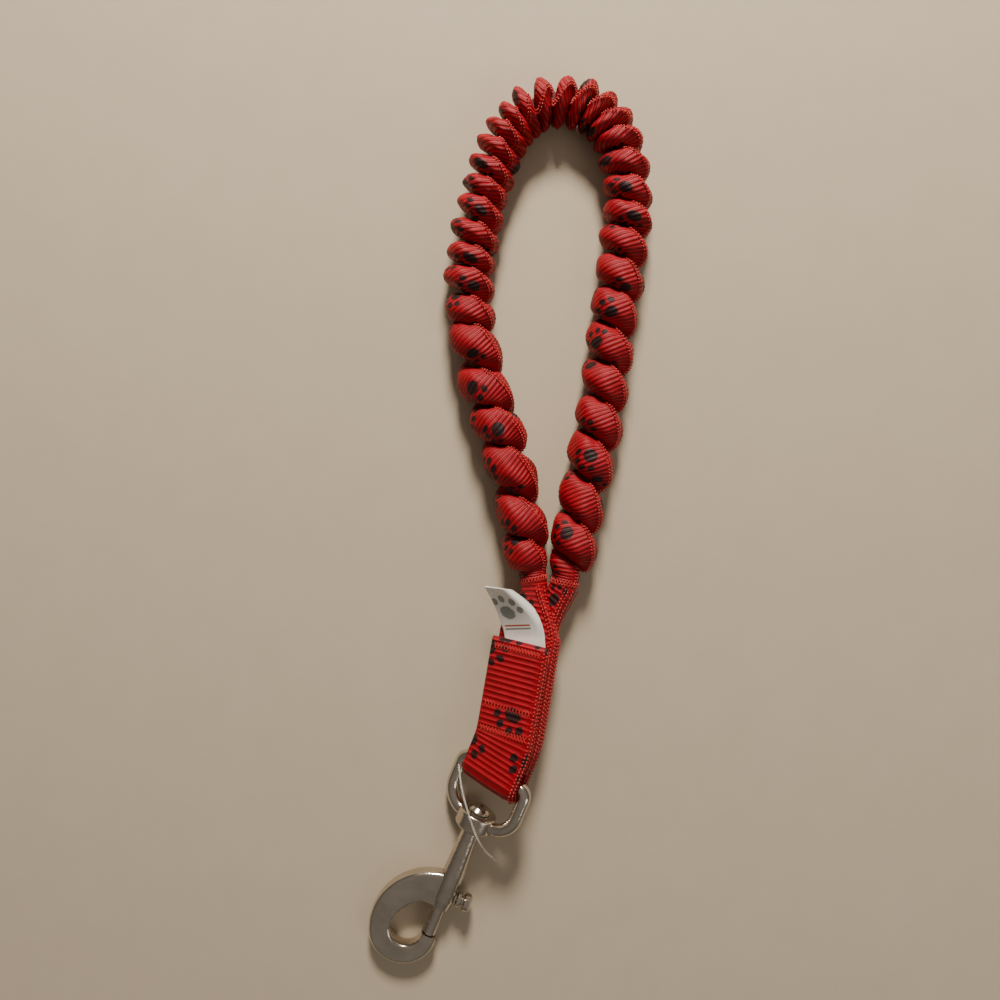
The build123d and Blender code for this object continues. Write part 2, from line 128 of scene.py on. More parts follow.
def link(name, mesh, body):
    piece = bpy.data.objects.new(name, mesh)
    bpy.context.scene.collection.objects.link(piece)
    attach(piece, body)
    return piece


def curve_object(name, points, resolution):
    """A smooth open NURBS curve with the points, in metres, as its control points."""
    data = bpy.data.curves.new(name, "CURVE")
    data.dimensions = "3D"
    data.resolution_u = resolution
    spline = data.splines.new("NURBS")
    spline.points.add(len(points) - 1)
    for control, point in zip(spline.points, points):
        control.co = (*point, 1.0)
    spline.order_u = 3
    spline.use_endpoint_u = True
    curve = bpy.data.objects.new(name, data)
    bpy.context.scene.collection.objects.link(curve)
    return curve


def read_line(curve):
    """The points along a curve with no bevel, in millimetres, and the curve is removed."""
    mesh = bpy.data.meshes.new_from_object(curve)
    line = np.array([v.co[:] for v in mesh.vertices]) / MM
    bpy.data.meshes.remove(mesh)
    bpy.data.objects.remove(curve)
    return line


def unit(vectors):
    return vectors / np.linalg.norm(vectors, axis=-1, keepdims=True)


def run_length(points):
    """Distance along a line of points, from its first."""
    return np.concatenate([[0], np.cumsum(np.linalg.norm(np.diff(points, axis=0), axis=1))])


def at_stations(line, stations):
    """Points on a line at distances along it."""
    reach = run_length(line)
    return np.stack([np.interp(stations, reach, line[:, k]) for k in range(3)], axis=1)


def blur(values, spread):
    """Values averaged along their first axis with a smooth window of that many samples."""
    span = np.arange(-3 * spread, 3 * spread + 1)
    window = np.exp(-0.5 * (span / spread) ** 2)
    window /= window.sum()
    ends = ((3 * spread, 3 * spread),) + ((0, 0),) * (values.ndim - 1)
    padded = np.pad(values, ends, mode="edge")
    return np.apply_along_axis(lambda row: np.convolve(row, window, mode="valid"), 0, padded)


def tube_mesh(name, rings, around, along):
    """A closed mesh from rings of points (n, m, 3) in mm. around and along, (n, m + 1), are strap
    coordinates in mm, whose last column is the first one met again after a full turn."""
    count, columns = rings.shape[:2]
    index = np.arange(count * columns).reshape(count, columns)
    following = np.roll(index, -1, axis=1)
    quads = np.stack([index[:-1], following[:-1], following[1:], index[1:]], axis=-1)
    faces = quads.reshape(-1, 4).tolist()
    corners = [(0, 0), (0, 1), (1, 1), (1, 0)]
    strap = np.stack([around, along], axis=-1)
    pieces = []
    for row, column in corners:
        pieces.append(strap[row : row + count - 1, column : column + columns])
    strap_uv = np.stack(pieces, axis=2).reshape(-1, 2)
    faces.append(index[0][::-1].tolist())
    faces.append(index[-1].tolist())
    strap_uv = np.concatenate([strap_uv, strap[0, :-1][::-1], strap[-1, :-1]])
    mesh = bpy.data.meshes.new(name)
    mesh.from_pydata((rings.reshape(-1, 3) * MM).tolist(), [], faces)
    layer = mesh.uv_layers.new(name="strap")
    layer.data.foreach_set("uv", strap_uv.astype(np.float32).ravel())
    mesh.polygons.foreach_set("use_smooth", [True] * len(mesh.polygons))
    mesh.validate()
    mesh.update()
    return mesh


def strokes_mesh(name, strokes, radius):
    """Short threads as one mesh: each stroke is (start, end, out) in mm, arched out a little."""
    sides, steps = 6, 5
    points, faces = [], []
    for start, end, out in strokes:
        start, end, out = np.array(start), np.array(end), np.array(out)
        ahead = unit(end - start)
        side = unit(np.cross(ahead, out))
        up = np.cross(side, ahead)
        first = len(points)
        for step in range(steps):
            t = step / (steps - 1)
            arch = np.sin(pi * t)
            centre = start + (end - start) * t + up * radius * 1.4 * arch
            size = radius * (0.35 + 0.65 * arch**0.5)
            for k in range(sides):
                angle = 2 * pi * k / sides
                points.append(centre + (side * np.cos(angle) + up * np.sin(angle)) * size)
        for step in range(steps - 1):
            for k in range(sides):
                a = first + step * sides + k
                b = first + step * sides + (k + 1) % sides
                faces.append((a, b, b + sides, a + sides))
        faces.append(tuple(first + k for k in reversed(range(sides))))
        faces.append(tuple(first + (steps - 1) * sides + k for k in range(sides)))
    mesh = bpy.data.meshes.new(name)
    mesh.from_pydata((np.array(points) * MM).tolist(), [], faces)
    mesh.polygons.foreach_set("use_smooth", [True] * len(faces))
    mesh.update()
    return mesh


# ---- Materials -----------------------------------------------------------------------------------


class Shade:
    """A material's node tree, with short calls to add and link its nodes."""

    def __init__(self, name):
        self.material = bpy.data.materials.new(name)
        self.material.use_nodes = True
        self.tree = self.material.node_tree
        self.shader = self.tree.nodes["Principled BSDF"]

    def put(self, socket, value):
        if isinstance(value, bpy.types.NodeSocket):
            self.tree.links.new(value, socket)
        else:
            socket.default_value = value

    def node(self, kind, **settings):
        node = self.tree.nodes.new(kind)
        for key, value in settings.items():
            setattr(node, key, value)
        return node

    def math(self, operation, a, b=0.0, c=0.0):
        node = self.node("ShaderNodeMath", operation=operation)
        for socket, value in zip(node.inputs, (a, b, c)):
            self.put(socket, value)
        return node.outputs[0]

    def vector(self, operation, a, b=(0, 0, 0)):
        node = self.node("ShaderNodeVectorMath", operation=operation)
        self.put(node.inputs[0], a)
        self.put(node.inputs[1], b)
        return node.outputs["Value" if operation in ("LENGTH", "DOT_PRODUCT") else "Vector"]

    def combine(self, x, y, z=0.0):
        node = self.node("ShaderNodeCombineXYZ")
        for socket, value in zip(node.inputs, (x, y, z)):
            self.put(socket, value)
        return node.outputs[0]

    def separate(self, vector):
        node = self.node("ShaderNodeSeparateXYZ")
        self.put(node.inputs[0], vector)
        return node.outputs[0], node.outputs[1]

    def noise(self, vector, scale, detail=3.0, roughness=0.55):
        node = self.node("ShaderNodeTexNoise")
        self.put(node.inputs["Vector"], vector)
        node.inputs["Scale"].default_value = scale
        node.inputs["Detail"].default_value = detail
        node.inputs["Roughness"].default_value = roughness
        return node.outputs["Fac"]

    def place(self):
        return self.node("ShaderNodeNewGeometry").outputs["Position"]

    def strap(self):
        """Strap coordinates in mm: round the tubular webbing, and along it."""
        return self.node("ShaderNodeUVMap", uv_map="strap").outputs[0]

    def spread(self, value, low, high, out_low=0.0, out_high=1.0):
        node = self.node("ShaderNodeMapRange", interpolation_type="SMOOTHSTEP")
        for key, number in zip(("Value", "From Min", "From Max", "To Min", "To Max"),
                               (value, low, high, out_low, out_high)):
            self.put(node.inputs[key], number)
        return node.outputs[0]

    def mix(self, factor, a, b):
        node = self.node("ShaderNodeMix", data_type="RGBA")
        self.put(node.inputs[0], factor)
        self.put(node.inputs[6], a)
        self.put(node.inputs[7], b)
        return node.outputs[2]

    def bump(self, height, distance, strength=1.0):
        node = self.node("ShaderNodeBump")
        self.put(node.inputs["Height"], height)
        node.inputs["Distance"].default_value = distance
        node.inputs["Strength"].default_value = strength
        self.put(self.shader.inputs["Normal"], node.outputs[0])

    def set(self, **values):
        for key, value in values.items():
            self.put(self.shader.inputs[key.replace("_", " ")], value)


PAW = [  # pad and four toes: centre and half sizes, mm
    ((0.0, -1.9), (2.6, 2.3)),
    ((-4.2, 0.7), (1.1, 1.3)),
    ((-1.75, 2.9), (1.1, 1.4)),
    ((1.75, 2.9), (1.1, 1.4)),
    ((4.2, 0.7), (1.1, 1.3)),
]


def paw_mask(shade, place, angle):
    """1 inside a paw print about the origin of place, turned by an angle."""
    turn = shade.node("ShaderNodeVectorRotate", rotation_type="Z_AXIS")
    shade.put(turn.inputs["Vector"], place)
    shade.put(turn.inputs["Angle"], angle)
    nearest = None
    for centre, half in PAW:
        away = shade.vector("SUBTRACT", turn.outputs[0], (*centre, 0))
        away = shade.vector("MULTIPLY", away, (1 / half[0], 1 / half[1], 0))
        distance = shade.vector("LENGTH", away)
        nearest = distance if nearest is None else shade.math("MINIMUM", nearest, distance)
    ragged = shade.math("MULTIPLY", shade.noise(place, 1.1, 2.0), 0.5)
    return shade.spread(shade.math("ADD", nearest, ragged), 1.34, 1.18)


def scattered_paws(shade, strap):
    """Paw prints in cells of the webbing, each shifted and turned by the cell's own chance."""
    cell = (strap_round / 2, 19.0)
    count = shade.vector("DIVIDE", strap, (*cell, 1))
    corner = shade.vector("FLOOR", count)
    chance = shade.node("ShaderNodeTexWhiteNoise", noise_dimensions="3D")
    shade.put(chance.inputs["Vector"], shade.vector("ADD", corner, (3.5, 8.5, 0.5)))
    middle = shade.vector("MULTIPLY", shade.vector("ADD", corner, (0.5, 0.5, 0)), (*cell, 0))
    shift = shade.vector("MULTIPLY", shade.vector("SUBTRACT", chance.outputs["Color"], (0.5, 0.5, 0.5)),
                         (9.0, 8.0, 0))
    place = shade.vector("SUBTRACT", shade.vector("SUBTRACT", strap, middle), shift)
    return paw_mask(shade, place, shade.math("MULTIPLY", chance.outputs["Value"], 2 * pi))


def placed_paws(shade, strap, paws):
    """Paw prints at given places on the webbing: (round, along, turn in degrees)."""
    mask = None
    for around, along, turn in paws:
        place = shade.vector("SUBTRACT", strap, (around, along, 0))
        paw = paw_mask(shade, place, radians(turn))
        mask = paw if mask is None else shade.math("MAXIMUM", mask, paw)
    return mask


def webbing(name, paws=None, gathered=False):
    """Red grosgrain webbing with black paw prints: weft ribs with painted highlights on their crests, warp
    threads, fuzz and faded wear.
    """
    shade = Shade(name)
    strap = shade.strap()
    around, along = shade.separate(strap)
    patchy = shade.noise(shade.place(), 260.0, 4.0)
    thread = shade.noise(shade.vector("MULTIPLY", strap, (2.6, 0.25, 0)), 2.0, 5.0, 0.7)
    red = shade.mix(shade.spread(patchy, 0.32, 0.7), (0.20, 0.0004, 0.006, 1), (0.28, 0.0006, 0.009, 1))
    rib = shade.math("SINE", shade.math("MULTIPLY_ADD", along, 2 * pi / rib_pitch, -pi / 2))
    # Painted highlight: the rib crests are mixed towards a brighter red.
    painted_rib_highlight = shade.math("MULTIPLY", shade.spread(rib, 0.55, 1.0), shade.spread(thread, 0.3, 0.7, 0.5, 1.0))
    red = shade.mix(shade.math("MULTIPLY", painted_rib_highlight, 0.7), red, (0.78, 0.012, 0.024, 1))
    print_mask = scattered_paws(shade, strap) if paws is None else placed_paws(shade, strap, paws)
    worn = shade.math("MULTIPLY", print_mask, shade.spread(thread, 0.2, 0.6, 1.0, 0.93))
    # Painted highlight: the black print is a lighter grey on the rib crests.
    black = shade.mix(painted_rib_highlight, (0.004, 0.004, 0.005, 1), (0.022, 0.020, 0.022, 1))
    shade.set(Base_Color=shade.mix(worn, red, black))
    shade.set(Roughness=shade.spread(thread, 0.3, 0.75, 0.42, 0.58))
    shade.set(Specular_IOR_Level=0.28)
    warp = shade.math("SINE", shade.math("MULTIPLY", around, 2 * pi / 0.5))
    grain = shade.math("MULTIPLY_ADD", warp, 0.35, thread)
    if gathered:
        grain = shade.math("MULTIPLY_ADD", shade.spread(rib, -1.0, 1.0), 5.0, grain)
    shade.bump(grain, 0.00006, 0.8)
    return shade.material


def sewing_thread():
    shade = Shade("red_thread_twist")
    fuzz = shade.noise(shade.place(), 1500.0, 4.0)
    shade.set(Base_Color=shade.mix(fuzz, (0.40, 0.005, 0.010, 1), (0.72, 0.05, 0.04, 1)))
    shade.set(Roughness=shade.spread(fuzz, 0.3, 0.7, 0.3, 0.5), Sheen_Weight=0.1)
    shade.bump(shade.noise(shade.place(), 4200.0, 2.0), 0.00006, 0.8)
    return shade.material


def nickel():
    """Bright nickel plate on a die casting: faint orange peel, hairline scratches and handling haze."""
    shade = Shade("bright_nickel_plate")
    place = shade.place()
    haze = shade.noise(place, 130.0, 5.0, 0.6)
    scratch = shade.noise(shade.vector("MULTIPLY", place, (1.0, 0.12, 1.0)), 3200.0, 2.0)
    tone = shade.mix(shade.spread(haze, 0.3, 0.75), (0.68, 0.62, 0.54, 1), (0.54, 0.48, 0.41, 1))
    shade.set(Base_Color=tone, Metallic=1.0)
    rough = shade.spread(haze, 0.35, 0.8, 0.10, 0.24)
    shade.set(Roughness=shade.math("MULTIPLY_ADD", scratch, 0.07, rough))
    relief = shade.math("MULTIPLY_ADD", scratch, 0.12, shade.noise(place, 420.0, 2.0))
    shade.bump(relief, 0.00016, 0.55)
    return shade.material


def drawn_wire():
    shade = Shade("drawn_spring_wire")
    tone = shade.noise(shade.place(), 900.0)
    shade.set(Base_Color=shade.mix(tone, (0.34, 0.34, 0.35, 1), (0.58, 0.57, 0.56, 1)))
    shade.set(Metallic=1.0, Roughness=shade.spread(tone, 0.3, 0.7, 0.22, 0.42))
    shade.bump(tone, 0.00005, 0.5)
    return shade.material


def braid():
    """The elastic core's jacket, braided dark red polyester."""
    shade = Shade("braided_jacket")
    wave = shade.node("ShaderNodeTexVoronoi")
    shade.put(wave.inputs["Vector"], shade.place())
    wave.inputs["Scale"].default_value = 900.0
    cell = wave.outputs["Distance"]
    shade.set(Base_Color=shade.mix(cell, (0.10, 0.002, 0.004, 1), (0.035, 0.001, 0.002, 1)))
    shade.set(Roughness=shade.spread(cell, 0.1, 0.6, 0.6, 0.85), Sheen_Weight=0.2)
    shade.bump(cell, 0.0002, 0.8)
    return shade.material


def rubber_strands():
    shade = Shade("rubber_strands")
    tone = shade.noise(shade.place(), 600.0)
    shade.set(Base_Color=shade.mix(tone, (0.62, 0.54, 0.40, 1), (0.78, 0.72, 0.58, 1)))
    shade.set(Roughness=shade.spread(tone, 0.3, 0.7, 0.6, 0.8))
    shade.bump(tone, 0.0001, 0.6)
    return shade.material


def satin():
    """White satin ribbon with a plain grey paw motif and two plain bars, and a faint sheen."""
    shade = Shade("label_satin_ribbon")
    strap = shade.strap()
    around, along = shade.separate(strap)
    tone = shade.noise(shade.vector("MULTIPLY", strap, (1.0, 6.0, 0)), 0.9, 4.0)
    cloth = shade.mix(shade.spread(tone, 0.3, 0.7), (0.86, 0.84, 0.79, 1), (0.74, 0.72, 0.68, 1))
    motif = paw_mask(shade, shade.vector("SUBTRACT", strap, (-2.6, 20.0, 0)), radians(20))
    inked = shade.mix(shade.math("MULTIPLY", motif, 0.85), cloth, (0.13, 0.17, 0.16, 1))
    within = shade.spread(shade.math("ABSOLUTE", shade.math("ADD", around, 1.6)), 4.6, 4.4)
    for line, colour in ((13.6, (0.42, 0.10, 0.05, 1)), (12.5, (0.20, 0.21, 0.20, 1))):
        bar = shade.spread(shade.math("ABSOLUTE", shade.math("SUBTRACT", along, line)), 0.34, 0.26)
        inked = shade.mix(shade.math("MULTIPLY", bar, within), inked, colour)
    shade.set(Base_Color=inked, Roughness=shade.spread(tone, 0.3, 0.7, 0.30, 0.44))
    shade.set(Sheen_Weight=0.15, Subsurface_Weight=0.05)
    weave = shade.math("SINE", shade.math("MULTIPLY", along, 2 * pi / 0.35))
    shade.bump(shade.math("MULTIPLY_ADD", weave, 0.3, tone), 0.00004, 0.5)
    return shade.material


def clear_nylon():
    shade = Shade("clear_nylon_filament")
    tone = shade.noise(shade.place(), 700.0)
    shade.set(Base_Color=shade.mix(tone, (0.86, 0.84, 0.78, 1), (0.95, 0.94, 0.90, 1)))
    shade.set(Roughness=shade.spread(tone, 0.3, 0.7, 0.08, 0.2))
    shade.set(IOR=1.53, Transmission_Weight=0.75)
    return shade.material


def floor_material():
    shade = Shade("pale_floor")
    tone = shade.noise(shade.place(), 60.0, 6.0, 0.7)
    shade.set(Base_Color=shade.mix(tone, (0.50, 0.42, 0.31, 1), (0.56, 0.475, 0.36, 1)), Roughness=0.85)
    return shade.material


# ---- The gathered sleeve of the hand loop --------------------------------------------------------

route = [Vector((x, y, sleeve_height)) * MM for x, y in loop_route]
core_line = read_line(curve_object("loop_line", route, 24))
core_length = run_length(core_line)[-1]

# Distances along the loop, in mm, at which a fold of the corkscrew stands out on the loop's outer
# side. A scratch script worked them out from places read off the photograph, which breaks a rule:
# see "Rules not kept" in report.md.
outer_folds = [
    10.9, 24.3, 41.5, 54.4, 67.1, 82.6, 91.4, 101.4, 108.4, 115.8, 124.2, 130.5,
    137.1, 143.5, 149.3, 153.9, 158.7, 165.3, 172.0, 178.0, 183.4, 189.0, 195.6,
    204.2, 213.0, 220.8, 230.2, 241.0, 252.2, 264.3, 276.0, 288.1, 301.4, 315.3, 327.6,
]  # fmt: skip
sleeve_rings, sleeve_columns = 1540, 46
first_lead_in, last_run_out = 14.0, 12.5  # from the end folds to the turns before and after them
fold_blur = 2.2  # mm over which one fold's spacing passes into the next
tube_offset = 2.95  # of the tube's middle from the core's
tube_depth = 5.05  # half the tube, away from the core
tube_widths = [4.5, 4.95]  # half the tube, round the core, at a close and at a wide pitch
lean = 0.050  # of the tube's rings, for each mm of pitch
slack = 2.2  # webbing along the sleeve for each mm of its tube

stations = np.linspace(0, core_length, sleeve_rings)
station_step = stations[1]
fold_places = [outer_folds[0] - first_lead_in, *outer_folds, outer_folds[-1] + last_run_out]
fold_turns = 2 * pi * np.arange(-1, len(outer_folds) + 1)
thread_phase = blur(np.interp(stations, fold_places, fold_turns), int(fold_blur / station_step))

core = at_stations(core_line, stations)
ahead = unit(np.gradient(core, axis=0))
inward = np.cross(ahead, [0, 0, 1])
up = np.array([0, 0, 1.0])

# The webbing tube follows a helix round the core: over the top to the right, going down the page.
wind = thread_phase + pi  # the side of the core the tube is on, from the loop's inside towards up
wind_rate = np.gradient(wind, stations)
local_pitch = np.clip(blur(2 * pi / wind_rate, 40), 4.5, 15)
end_distance = np.minimum(stations, core_length - stations)
gather = np.clip((end_distance - 2.5) / 8.0, 0, 1)
gather = gather * gather * (3 - 2 * gather)
offset = tube_offset * gather
tube_radial = neck_r + (tube_depth - neck_r) * gather
tube_tangent = neck_r + (np.interp(local_pitch, [6, 13], tube_widths) - neck_r) * gather
tilt = lean * local_pitch * gather  # of the tube's rings, along the core for each mm round it
toward = inward * np.cos(wind)[:, None] + up * np.sin(wind)[:, None]
turning = up * np.cos(wind)[:, None] - inward * np.sin(wind)[:, None]

page_side = blur(np.interp(stations, [125, 210], [0.0, 1.0]), 60)  # 0 on the left leg, 1 on the right
seam_angle = np.interp(page_side, [0, 1], [radians(46), radians(134)])

webbing_reach = (1 + tilt * offset * wind_rate) / np.sqrt(1 + tilt**2)
webbing_reach = slack * run_length(np.cumsum(webbing_reach)[:, None] * station_step)

# Three rings to a rib, the first on its crest.
rib_reach = np.arange(rib_pitch / 2, webbing_reach[-1], rib_pitch / 3)
rib_rows = np.interp(rib_reach, webbing_reach, np.arange(sleeve_rings))


def at_ribs(values):
    """Values at the even stations, read at the ribs' rings."""
    columns = values.reshape(len(values), -1).T
    picked = [np.interp(rib_rows, np.arange(len(values)), column) for column in columns]
    return np.stack(picked, axis=1).reshape(-1, *values.shape[1:])


core, ahead, toward, turning = (at_ribs(values) for values in (core, ahead, toward, turning))
wind, thread_phase, gather, tilt = (at_ribs(values) for values in (wind, thread_phase, gather, tilt))
offset, tube_radial, tube_tangent = (at_ribs(values) for values in (offset, tube_radial, tube_tangent))
seam_angle, webbing_reach = at_ribs(seam_angle), rib_reach
sleeve_rings = len(rib_rows)


def sleeve_point(row, angle, lift=0.0):
    """The sleeve's surface at rows of stations and angles round the tube, lifted outwards, in mm."""
    from_seam = np.mod(angle - seam_angle[row] + pi, 2 * pi) - pi
    swell = 0.40 * np.exp(-((from_seam / 0.17) ** 2))
    swell = swell - 0.22 * np.exp(-(((np.abs(from_seam) - 0.5) / 0.25) ** 2))
    around_tube = angle - wind[row]
    fold_number = np.round(thread_phase[row] / (2 * pi))
    chance = np.sin(fold_number * 12.9898 + 4.1) * 43758.5453
    chance = (chance - np.floor(chance) - 0.5) * (0.5 + 0.5 * np.cos(thread_phase[row]))
    pucker = 0.16 * np.sin(3 * angle + 1.7 * wind[row]) + 0.10 * np.sin(5 * angle - 2.3 * wind[row])
    swell = (swell + pucker + 0.9 * chance * np.cos(around_tube)) * gather[row] + lift
    out = (offset[row] + (tube_radial[row] + swell) * np.cos(around_tube))[..., None]
    side = ((tube_tangent[row] + swell) * np.sin(around_tube))[..., None]
    shift = toward[row] * out + turning[row] * side
    shift[..., 2] *= 0.95
    return core[row] + shift - ahead[row] * side * tilt[row][..., None]


def sleeve_mesh():
    columns = np.arange(sleeve_columns + 1)
    row = np.repeat(np.arange(sleeve_rings)[:, None], sleeve_columns + 1, axis=1)
    angle = seam_angle[row] + 2 * pi * columns[None, :] / sleeve_columns
    around = np.broadcast_to(columns * strap_round / sleeve_columns, row.shape)
    along = webbing_reach[row]
    rib = 0.17 * (0.5 - 0.5 * np.cos(2 * pi * along / rib_pitch))
    rings = sleeve_point(row[:, :-1], angle[:, :-1], rib[:, :-1])
    shake = np.array([[noise.noise(Vector(p) / 5.5) for p in ring[::4]] for ring in rings[::6]])
    rows_at, columns_at = np.arange(sleeve_rings) / 6, np.arange(sleeve_columns) / 4
    across = np.arange(shake.shape[1])
    shake = np.array([np.interp(columns_at, across, values, period=shake.shape[1]) for values in shake])
    down = np.arange(len(shake))
    shake = np.stack([np.interp(rows_at, down, values) for values in shake.T], axis=1)
    out = unit(rings - (core + toward * offset[:, None])[:, None, :])
    rings = rings + out * (shake * 0.7 * gather[:, None])[..., None]
    rings[..., 2] = np.maximum(rings[..., 2], 0.15)
    return tube_mesh("gathered_sleeve", rings, around, along)


red_webbing = webbing("red_grosgrain_gathered", gathered=True)
red_thread = sewing_thread()

sleeve = link("gathered_sleeve", sleeve_mesh(), "lead")
sleeve.data.materials.append(red_webbing)
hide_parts("loop_sleeve")


def sleeve_stitches():
    """Two rows of small stitches that close the webbing's edge, along its whole winding length."""
    fine = np.arange(0, sleeve_rings - 1, 0.25)
    lower, share = np.floor(fine).astype(int), fine - np.floor(fine)
    strokes = []
    for apart, shift in ((-0.08, 0.0), (0.09, 0.5)):
        here = sleeve_point(lower, seam_angle[lower] + apart, 0.10)
        there = sleeve_point(lower + 1, seam_angle[lower + 1] + apart, 0.10)
        line = here + (there - here) * share[:, None]
        reach = run_length(line)
        starts = np.arange(1.0 + shift, reach[-1] - 1.5, 1.02)
        begin = at_stations(line, starts)
        finish = at_stations(line, starts + 0.62)
        middle = (core + toward * offset[:, None])[lower]
        out = begin - np.stack([np.interp(starts, reach, middle[:, k]) for k in range(3)], axis=1)
        side = unit(np.cross(finish - begin, out))
        slant = side * 0.16 * (1 if shift else -1)
        for a, b, normal, s in zip(begin, finish, out, slant):
            strokes.append((a - s, b + s, normal))
    return strokes_mesh("sleeve_edge_stitches", strokes, 0.21)


sleeve_thread = link("sleeve_edge_stitches", sleeve_stitches(), "lead")
sleeve_thread.data.materials.append(red_thread)

# ---- Flat webbing --------------------------------------------------------------------------------


def band_rings(centres, across, half_width, half_depth, squareness, flat_ends=(False, False)):
    """Sections of tubular webbing along a line, in mm. squareness 0 is round and 1 is flat."""
    columns = 76
    reach = run_length(centres)
    ahead_here = unit(np.gradient(centres, axis=0))
    across = unit(across - ahead_here * np.sum(across * ahead_here, axis=1, keepdims=True))
    out = np.cross(across, ahead_here)
    for k, rounded in enumerate(flat_ends):
        if rounded:
            from_end = reach if k == 0 else reach[-1] - reach
            close = np.clip(from_end / 1.6, 0.02, 1)
            half_depth = half_depth * np.sqrt(1 - (1 - close) ** 2)
    fine = 2 * pi * np.arange(721) / 720
    power = (1.0 - 0.66 * squareness)[:, None]
    x = half_width[:, None] * np.sign(np.cos(fine)) * np.abs(np.cos(fine)) ** power
    n = half_depth[:, None] * np.sign(np.sin(fine)) * np.abs(np.sin(fine)) ** (power * 0.92)
    step = np.hypot(np.diff(x, axis=1), np.diff(n, axis=1))
    walk = np.concatenate([np.zeros((len(step), 1)), np.cumsum(step, axis=1)], axis=1)
    share = np.arange(columns + 1) / columns
    x = np.array([np.interp(share * w[-1], w, values) for w, values in zip(walk, x)])
    n = np.array([np.interp(share * w[-1], w, values) for w, values in zip(walk, n)])
    from_edge = half_width[:, None] - np.abs(x)
    edge = np.clip((from_edge - np.where(x > 0, 1.9, 0.3)) / 0.8, 0, 1)
    rib = 0.24 * (0.5 - 0.5 * np.cos(2 * pi * reach / rib_pitch))[:, None] ** 1.4 * edge
    crown = 0.16 * (1 - (x / half_width[:, None]) ** 2) * squareness[:, None]
    n = n + np.sign(n) * (rib + crown) * np.clip(np.abs(n) / half_depth[:, None] * 2 - 0.6, 0, 1)
    rings = centres[:, None, :] + x[..., None] * across[:, None, :] + n[..., None] * out[:, None, :]
    around = np.broadcast_to(share * strap_round, x.shape)
    along = np.broadcast_to(reach[:, None], x.shape)
    return rings[:, :-1], around, along


def smooth_step(value, low, high):
    t = np.clip((value - low) / (high - low), 0, 1)
    return t * t * (3 - 2 * t)


def leg_line(start, start_ahead, end, end_ahead, reach, count):
    """A smooth line from the stack to a leg's neck."""
    t = np.linspace(0, 1, count)[:, None]
    points = [start, start + start_ahead * reach, end - end_ahead * reach, end]
    b0, b1, b2, b3 = [np.array(p)[None, :] for p in points]
    return (1 - t) ** 3 * b0 + 3 * (1 - t) ** 2 * t * b1 + 3 * (1 - t) * t**2 * b2 + t**3 * b3


def run_points(height, far, near, count):
    """A run's middle line in the stack, from far to near the bar, with its bend, and its across."""
    y = np.linspace(far, near, count)
    x = np.where(y > bend_distance * cos(bend), stack_x, y * tan(bend))
    points = np.array([in_stack(a, b, height) for a, b in zip(x, y)])
    turn = np.where(y > bend_distance * cos(bend), 0.0, bend)
    spread = max(1, int(2.6 / (abs(far - near) / count)))
    smooth = blur(points, spread)
    keep = smooth_step(np.minimum(np.arange(count), np.arange(count)[::-1]), 0, 3 * spread)[:, None]
    points = points + (smooth - points) * keep
    turn = blur(turn, spread)
    across = np.array([stack_across * cos(a) - stack_along * sin(a) for a in turn])
    return points, across


def neck_frame(end, following):
    inside = (following - end).normalized()
    side = (stack_across - inside * stack_across.dot(inside)).normalized()
    return inside, side


left_end, right_end = Vector(core_line[0]), Vector(core_line[-1])
left_in, left_side = neck_frame(left_end, Vector(core_line[12]))
right_in, right_side = neck_frame(right_end, Vector(core_line[-13]))
neck_overlap = 1.2  # the webbing's ends run on under the leg's bar tack


def leg_sections(count):
    """Half width, half depth and squareness from the flat stack to the drawn-in neck."""
    t = np.linspace(0, 1, count)
    narrow = smooth_step(t, -0.12, 0.86)
    start = smooth_step(0, -0.12, 0.86)
    narrow = (narrow - start) / (1 - start)
    half_width = strap_width / 2 + (4.25 - strap_width / 2) * narrow
    half_depth = strap_t / 2 + (4.1 - strap_t / 2) * smooth_step(t, 0.1, 1.0)
    return half_width, half_depth, 1 - smooth_step(t, 0.05, 1.0)


def join_runs(runs):
    """Runs of (points, across, half width, half depth, squareness) as one, evenly spaced."""
    points = np.concatenate([r[0] for r in runs])
    keep = np.concatenate([[True], np.linalg.norm(np.diff(points, axis=0), axis=1) > 1e-4])
    points = points[keep]
    rest = [np.concatenate([r[k] for r in runs])[keep] for k in range(1, 5)]
    reach = run_length(points)
    even = np.arange(0, reach[-1], 0.177)
    points = np.stack([np.interp(even, reach, points[:, k]) for k in range(3)], axis=1)
    across = np.stack([np.interp(even, reach, rest[0][:, k]) for k in range(3)], axis=1)
    sizes = [np.interp(even, reach, values) for values in rest[1:]]
    return points, across, *sizes


def flat(count):
    return np.full(count, strap_width / 2), np.full(count, strap_t / 2), np.ones(count)


def eye_webbing():
    """The right leg's webbing: down behind the stack, round the bar and up the front."""
    front = run_points(run_height, front_top, 0.0, 160)
    behind = run_points(-run_height, 0.0, stack_top, 160)
    eye_along = stack_along * cos(bend) + stack_across * sin(bend)
    turn = np.linspace(0, pi, 60)
    bight = [
        bar_centre - eye_along * (run_height * sin(a)) + stack_normal * (run_height * cos(a)) for a in turn
    ]
    bight = np.array([p[:] for p in bight])
    bight_across = np.tile(np.array(bar_axis), (60, 1))
    start = in_stack(stack_x, stack_top, -run_height)
    neck = right_end + right_in * neck_overlap
    leg = leg_line(start, stack_along, neck, right_in, 6.5, 120)
    share = smooth_step(np.linspace(0, 1, 120), 0, 1)[:, None]
    leg_across = np.array(stack_across) * (1 - share) + np.array(right_side) * share
    runs = [
        (front[0], front[1], *flat(160)),
        (bight, bight_across, *flat(60)),
        (behind[0], behind[1], *flat(160)),
        (leg, leg_across, *leg_sections(120)),
    ]
    return join_runs(runs)


